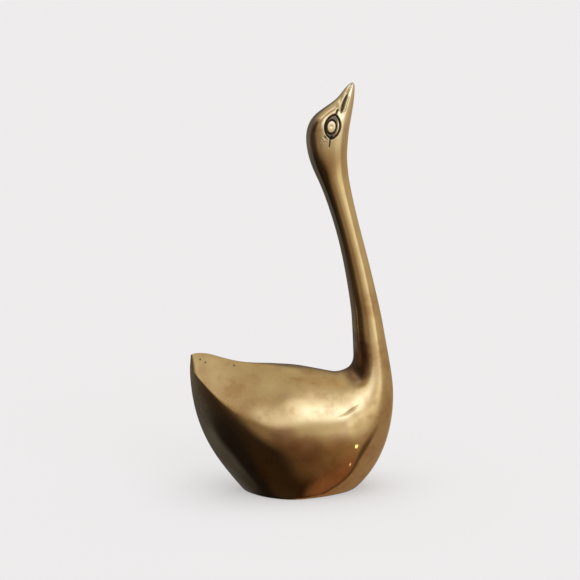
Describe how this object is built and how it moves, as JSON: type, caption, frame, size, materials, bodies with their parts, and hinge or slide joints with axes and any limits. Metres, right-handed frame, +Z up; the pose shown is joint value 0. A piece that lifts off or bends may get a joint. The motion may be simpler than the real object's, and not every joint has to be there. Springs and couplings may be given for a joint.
{
  "type": "brass bird figurine",
  "caption": "Cast brass figurine of a sitting long-necked water bird with a raised beak, a creased tail and a flat underside to stand on.",
  "frame": {"origin": "on the surface the figurine stands on, under the middle of its length and width", "axes": "+Z up, +X the way the bird looks, from tail to chest, +Y to the bird's left; the bird is symmetric across y = 0"},
  "size_m": [0.1248, 0.0626, 0.25],
  "materials": {
    "aged_brass": "hand-polished cast brass, softly glossy, with brown tarnish, a few casting pits and dark chiselled lines"
  },
  "bodies": {
    "root": {"bird": "aged_brass"}
  },
  "joints": []
}
